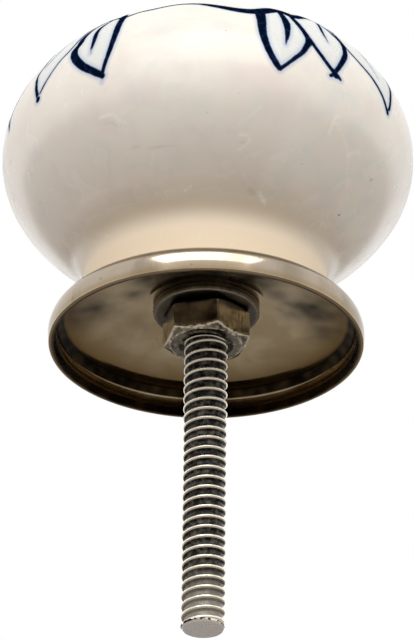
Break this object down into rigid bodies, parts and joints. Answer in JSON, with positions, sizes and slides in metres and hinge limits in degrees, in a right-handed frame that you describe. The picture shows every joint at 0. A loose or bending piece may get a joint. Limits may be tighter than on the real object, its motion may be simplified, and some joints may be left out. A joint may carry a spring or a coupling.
{
  "type": "cabinet knob",
  "caption": "Round glazed ceramic cabinet knob with painted petals on a pressed metal cup, held by a through bolt with washer and hex nut.",
  "frame": {"origin": "centre of the cup's rim, in the plane that bears on the drawer front", "axes": "+Z along the knob's axis, from the drawer front out to the crown; the stud points along -Z"},
  "size_m": [0.0384, 0.0384, 0.0626],
  "materials": {
    "glaze": "gloss glaze with painted petals",
    "plated_cup": "polished nickel plate",
    "washer_steel": "dull plated steel",
    "nut_steel": "dull plated steel",
    "bolt_steel": "rolled bright steel"
  },
  "bodies": {
    "root": {"ceramic_ball": "glaze", "base_cup": "plated_cup", "flat_washer": "washer_steel", "hex_nut": "nut_steel", "through_bolt": "bolt_steel"}
  },
  "joints": []
}
